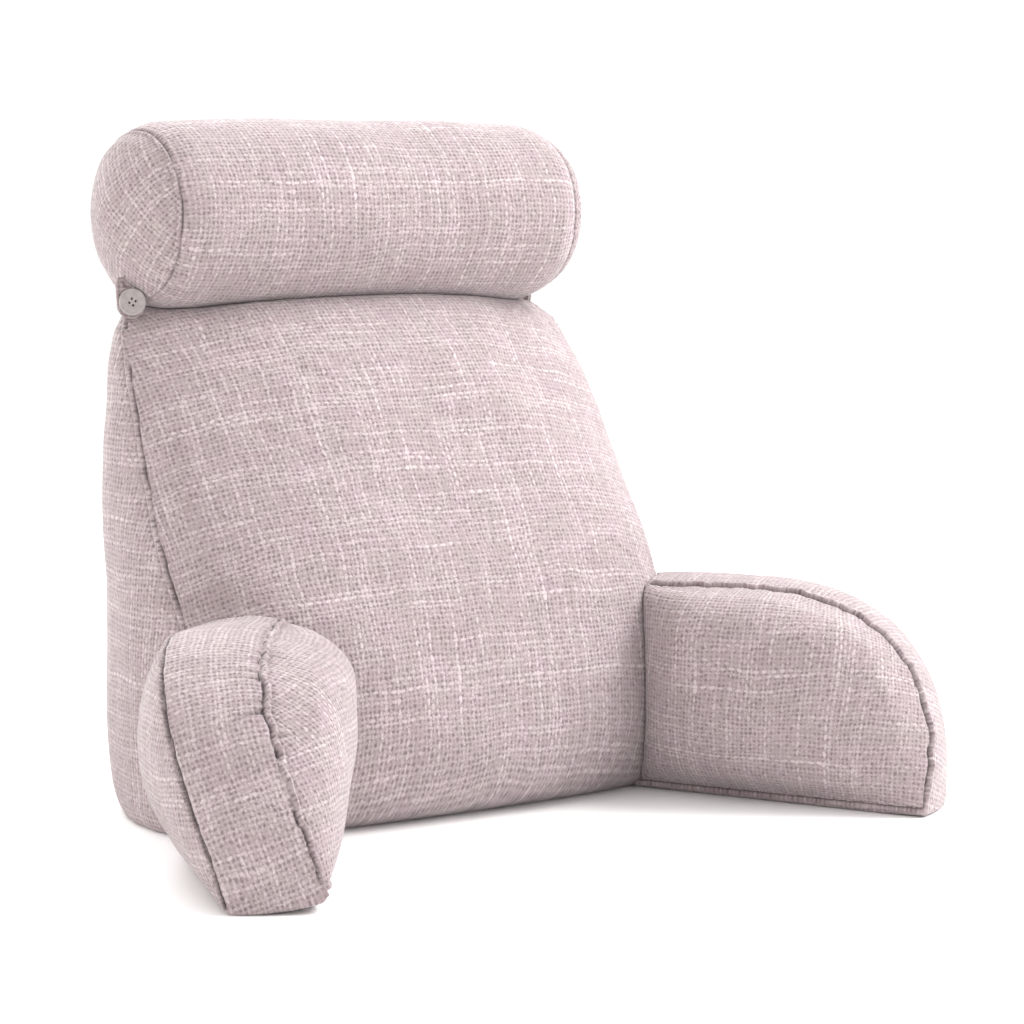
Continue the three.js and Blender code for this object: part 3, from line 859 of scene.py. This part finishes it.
# ---- materials --------------------------------------------------------------------
class Nodes:
    """A new material, and short calls that add its nodes."""

    def __init__(self, name):
        self.material = bpy.data.materials.new(name)
        self.material.use_nodes = True
        self.nodes = self.material.node_tree.nodes
        self.links = self.material.node_tree.links
        self.shader = self.nodes["Principled BSDF"]

    def put(self, socket, value):
        if isinstance(value, bpy.types.NodeSocket):
            self.links.new(value, socket)
        else:
            socket.default_value = value

    def sum(self, operation, *values):
        node = self.nodes.new("ShaderNodeMath")
        node.operation = operation
        for socket, value in zip(node.inputs, values):
            self.put(socket, value)
        return node.outputs[0]

    def vector(self, x, y, z=0.0):
        node = self.nodes.new("ShaderNodeCombineXYZ")
        for socket, value in zip(node.inputs, (x, y, z)):
            self.put(socket, value)
        return node.outputs[0]

    def noise(self, vector, scale, detail=2.0):
        node = self.nodes.new("ShaderNodeTexNoise")
        self.put(node.inputs["Vector"], vector)
        node.inputs["Scale"].default_value = scale
        node.inputs["Detail"].default_value = detail
        return node.outputs["Fac"]

    def chance(self, vector):
        node = self.nodes.new("ShaderNodeTexWhiteNoise")
        node.noise_dimensions = "3D"
        self.put(node.inputs["Vector"], vector)
        return node.outputs["Value"]

    def mix(self, share, first, second, blend="MIX"):
        node = self.nodes.new("ShaderNodeMix")
        node.data_type = "RGBA"
        node.blend_type = blend
        self.put(node.inputs[0], share)
        self.put(node.inputs[6], first)
        self.put(node.inputs[7], second)
        return node.outputs[2]

    def ramp(self, value, low, high):
        node = self.nodes.new("ShaderNodeMapRange")
        node.interpolation_type = "SMOOTHSTEP"
        self.put(node.inputs["Value"], value)
        self.put(node.inputs["From Min"], low)
        self.put(node.inputs["From Max"], high)
        return node.outputs["Result"]

    def bump(self, height, distance, strength):
        node = self.nodes.new("ShaderNodeBump")
        node.inputs["Strength"].default_value = strength
        node.inputs["Distance"].default_value = distance
        self.links.new(height, node.inputs["Height"])
        self.links.new(node.outputs[0], self.shader.inputs["Normal"])


def rgba(colour, gain=1.0):
    return tuple(c * gain for c in colour) + (1.0,)


def cloth_material():
    """A chunky plain weave of uneven yarns: slubs both ways, with painted shade in the gaps between the
    yarns and along their edges, and in the seams.
    """
    if "woven_cloth" in bpy.data.materials:
        return bpy.data.materials["woven_cloth"]
    settings = bpy.context.scene.pillow_cover
    tree = Nodes("woven_cloth")
    uv = tree.nodes.new("ShaderNodeUVMap")
    uv.uv_map = "weave"
    place = uv.outputs[0]
    split = tree.nodes.new("ShaderNodeSeparateXYZ")
    tree.links.new(place, split.inputs[0])

    def yarns(axis, seed):
        """Yarn counts across one way of the weave, with yarns that wander a little."""
        moved = tree.nodes.new("ShaderNodeVectorMath")
        moved.operation = "ADD"
        tree.links.new(place, moved.inputs[0])
        moved.inputs[1].default_value = (seed, seed * 0.7, 0)
        near = tree.sum("MULTIPLY", tree.sum("SUBTRACT", tree.noise(moved.outputs[0], 150, 1), 0.5), 0.0030)
        wide = tree.sum("MULTIPLY", tree.sum("SUBTRACT", tree.noise(moved.outputs[0], 14, 1), 0.5), 0.010)
        shifted = tree.sum("ADD", split.outputs[axis], tree.sum("ADD", near, wide))
        return tree.sum("DIVIDE", shifted, settings.yarn)

    u, v = yarns(0, 3.1), yarns(1, 8.3)
    cell_u, cell_v = tree.sum("FLOOR", u), tree.sum("FLOOR", v)
    yarn_u = tree.sum("FLOOR", tree.sum("ADD", u, 0.5))
    yarn_v = tree.sum("FLOOR", tree.sum("ADD", v, 0.5))
    off_u = tree.sum("SUBTRACT", u, yarn_u)
    off_v = tree.sum("SUBTRACT", v, yarn_v)

    def bulge(off):
        twice = tree.sum("MULTIPLY", off, 2.0)
        return tree.sum("SUBTRACT", 1.0, tree.sum("MULTIPLY", twice, twice))

    bulge_u, bulge_v = bulge(off_u), bulge(off_v)
    over = tree.sum("MODULO", tree.sum("ADD", tree.sum("ADD", yarn_u, yarn_v), 4000.0), 2.0)

    def tone(yarn, along, seed):
        """How light a yarn is: a chance of its own, and slubs that come and go along it."""
        own = tree.chance(tree.vector(yarn, seed, 3.0))
        spot = tree.vector(tree.sum("MULTIPLY", yarn, 5.37), tree.sum("MULTIPLY", along, 0.05), seed)
        slub = tree.ramp(tree.noise(spot, 1.0, 2.0), 0.42, 0.70)
        bead = tree.sum("MULTIPLY", tree.noise(tree.vector(yarn, along, seed), 1.3, 1.0), 0.5)
        own = tree.sum("MULTIPLY", tree.sum("MULTIPLY", own, own), 0.30)
        return tree.sum("ADD", tree.sum("ADD", own, tree.sum("MULTIPLY", slub, 0.34)),
                        tree.sum("SUBTRACT", bead, 0.22))

    tone_u, tone_v = tone(yarn_u, v, 2.0), tone(yarn_v, u, 9.0)
    warp = tree.sum("MULTIPLY", bulge_u, tree.sum("ADD", 0.55, tree.sum("MULTIPLY", over, 0.45)))
    weft = tree.sum("MULTIPLY", bulge_v, tree.sum("SUBTRACT", 1.0, tree.sum("MULTIPLY", over, 0.45)))
    height = tree.sum("MAXIMUM", warp, weft)
    on_top = tree.ramp(tree.sum("SUBTRACT", warp, weft), -0.12, 0.12)
    yarn_tone = tree.sum("ADD", tree.sum("MULTIPLY", tone_u, on_top),
                         tree.sum("MULTIPLY", tone_v, tree.sum("SUBTRACT", 1.0, on_top)))

    # Painted shade in the gap at each crossing of the yarns, deeper in some gaps than in others.
    luck = tree.chance(tree.vector(cell_u, cell_v, 5.0))
    from_u = tree.sum("SUBTRACT", tree.sum("SUBTRACT", u, cell_u), 0.5)
    from_v = tree.sum("SUBTRACT", tree.sum("SUBTRACT", v, cell_v), 0.5)
    away = tree.sum("SQRT", tree.sum("ADD", tree.sum("MULTIPLY", from_u, from_u),
                                     tree.sum("MULTIPLY", from_v, from_v)))
    reach = tree.sum("ADD", 0.36, tree.sum("MULTIPLY", luck, 0.24))
    hole = tree.sum("SUBTRACT", 1.0, tree.ramp(away, 0.02, reach))
    hole = tree.sum("MULTIPLY", hole, tree.sum("ADD", 0.12, tree.sum("MULTIPLY", luck, 0.75)))

    fuzz = tree.noise(place, 900, 2)
    cloudy = tree.noise(place, 22, 3)
    # Painted shade along the yarns' edges, where they dip under each other.
    edge = tree.sum("MULTIPLY", tree.sum("SUBTRACT", 1.0, height), 0.5)
    light = tree.sum("ADD", yarn_tone, tree.sum("MULTIPLY", tree.sum("SUBTRACT", fuzz, 0.5), 1.3))
    light = tree.sum("ADD", light, tree.sum("MULTIPLY", tree.sum("SUBTRACT", cloudy, 0.5), 0.3))
    light = tree.sum("SUBTRACT", light, edge)
    light = tree.sum("MINIMUM", 1.0, tree.sum("MAXIMUM", 0.0, light))
    colour = tree.mix(light, rgba(settings.plain), rgba(settings.slub))
    tint = tree.mix(tree.ramp(tree.noise(place, 42, 1), 0.35, 0.65),
                    (0.995, 1.012, 0.99, 1), (1.01, 0.992, 1.008, 1))
    colour = tree.mix(1.0, colour, tint, "MULTIPLY")
    # The gaps get the painted shade colour.
    colour = tree.mix(tree.sum("MULTIPLY", hole, 0.8), colour, rgba(settings.gap))
    # Painted shade: seam_shade darkens the colour in the seams' grooves, in their creases and in the
    # buttonhole slits.
    seam = tree.nodes.new("ShaderNodeAttribute")
    seam.attribute_name = "seam_shade"
    colour = tree.mix(seam.outputs["Fac"], colour, rgba(settings.gap, 0.4))
    tree.put(tree.shader.inputs["Base Color"], colour)
    relief = tree.sum("ADD", tree.sum("SUBTRACT", height, hole), tree.sum("MULTIPLY", fuzz, 0.5))
    tree.bump(relief, 0.0009, 0.5)
    tree.shader.inputs["Roughness"].default_value = 0.95
    tree.shader.inputs["Specular IOR Level"].default_value = 0.15
    tree.shader.inputs["Sheen Weight"].default_value = 0.25
    tree.shader.inputs["Sheen Roughness"].default_value = 0.5
    return tree.material


def button_material():
    if "button_resin" in bpy.data.materials:
        return bpy.data.materials["button_resin"]
    tree = Nodes("button_resin")
    spot = tree.nodes.new("ShaderNodeTexCoord")
    cloud = tree.noise(spot.outputs["Object"], 160, 3)
    colour = bpy.context.scene.pillow_button.colour
    tree.put(tree.shader.inputs["Base Color"],
             tree.mix(tree.ramp(cloud, 0.35, 0.65), rgba(colour, 0.92), rgba(colour, 1.1)))
    tree.bump(tree.noise(spot.outputs["Object"], 900, 2), 0.0001, 0.2)
    tree.shader.inputs["Roughness"].default_value = 0.55
    return tree.material


def floor_material():
    tree = Nodes("floor_paint")
    tree.shader.inputs["Base Color"].default_value = rgba(bpy.context.scene.pillow_stage.floor)
    tree.shader.inputs["Roughness"].default_value = 0.9
    return tree.material


# ---- stage ------------------------------------------------------------------------
def soft_box(name, place, watts, colour):
    data = bpy.data.lights.new(name, "AREA")
    data.shape = "RECTANGLE"
    data.size = data.size_y = SOFT_BOX_SIZE
    data.energy = watts
    data.color = colour
    lamp = bpy.data.objects.new(name, data)
    bpy.context.scene.collection.objects.link(lamp)
    lamp.location = place
    away = Vector(place) - Vector(SOFT_BOX_AIM)
    lamp.rotation_euler = away.to_track_quat("Z", "Y").to_euler()


def make_stage():
    settings = bpy.context.scene.pillow_stage
    deselect()
    bpy.ops.mesh.primitive_plane_add(size=60, location=(0, 0, 0))
    floor = bpy.context.object
    floor.name = "floor"
    floor.data.materials.append(floor_material())
    world = bpy.data.worlds.new("studio")
    world.use_nodes = True
    sky = world.node_tree.nodes["Background"]
    sky.inputs["Color"].default_value = (1, 1, 1, 1)
    sky.inputs["Strength"].default_value = SKY
    bpy.context.scene.world = world
    for box in SOFT_BOXES:
        soft_box(*box)
    bpy.context.scene.view_settings.view_transform = "Standard"
    data = bpy.data.cameras.new("camera")
    data.lens = settings.lens
    data.sensor_width = 36
    data.clip_end = 200
    camera = bpy.data.objects.new("camera", data)
    bpy.context.scene.collection.objects.link(camera)
    place, aim = Vector(to_world(CAMERA_AT)), Vector(to_world(CAMERA_AIM))
    camera.location = place
    camera.rotation_euler = (aim - place).to_track_quat("-Z", "Y").to_euler()
    bpy.context.scene.camera = camera


# ---- operators --------------------------------------------------------------------
class PILLOW_OT_stage(bpy.types.Operator):
    """Sets up the floor, the lights and the camera"""
    bl_idname = "pillow.stage"
    bl_label = "Stage"

    def execute(self, context):
        make_stage()
        return {"FINISHED"}


class PILLOW_OT_backrest(bpy.types.Operator):
    """Sews and fills the wedge backrest"""
    bl_idname = "pillow.backrest"
    bl_label = "Backrest"

    def execute(self, context):
        make_backrest()
        return {"FINISHED"}


class PILLOW_OT_arms(bpy.types.Operator):
    """Sews and fills both arms"""
    bl_idname = "pillow.arms"
    bl_label = "Arms"

    def execute(self, context):
        make_arm(-1, "arm_left")
        make_arm(1, "arm_right")
        return {"FINISHED"}


class PILLOW_OT_roll(bpy.types.Operator):
    """Sews and fills the neck roll"""
    bl_idname = "pillow.roll"
    bl_label = "Neck roll"

    def execute(self, context):
        make_roll()
        return {"FINISHED"}


class PILLOW_OT_tabs(bpy.types.Operator):
    """Cuts the two button tabs"""
    bl_idname = "pillow.tabs"
    bl_label = "Tabs"

    def execute(self, context):
        make_tab("left")
        make_tab("right")
        return {"FINISHED"}


class PILLOW_OT_buttons(bpy.types.Operator):
    """Turns the two buttons"""
    bl_idname = "pillow.buttons"
    bl_label = "Buttons"

    def execute(self, context):
        make_buttons()
        return {"FINISHED"}


class PILLOW_PT_panel(bpy.types.Panel):
    """Lists the pieces of the pillow"""
    bl_label = "Pillow"
    bl_space_type = "VIEW_3D"
    bl_region_type = "UI"
    bl_category = "Pillow"

    def draw(self, context):
        for operator in OPERATORS:
            self.layout.operator(operator.bl_idname)


OPERATORS = (PILLOW_OT_stage, PILLOW_OT_backrest, PILLOW_OT_arms, PILLOW_OT_roll,
             PILLOW_OT_tabs, PILLOW_OT_buttons)
SETTINGS = {"pillow_cover": PillowCover, "pillow_button": PillowButton,
            "pillow_stage": PillowStage}


def register():
    for cls in (*SETTINGS.values(), *OPERATORS, PILLOW_PT_panel):
        bpy.utils.register_class(cls)
    for name, settings in SETTINGS.items():
        setattr(bpy.types.Scene, name, bpy.props.PointerProperty(type=settings))


def unregister():
    for name in SETTINGS:
        delattr(bpy.types.Scene, name)
    for cls in (PILLOW_PT_panel, *reversed(OPERATORS), *SETTINGS.values()):
        bpy.utils.unregister_class(cls)


def main():
    register()
    bpy.ops.pillow.stage()
    bpy.ops.pillow.backrest()
    bpy.ops.pillow.arms()
    bpy.ops.pillow.roll()
    bpy.ops.pillow.tabs()
    bpy.ops.pillow.buttons()


if __name__ == "__main__":
    main()
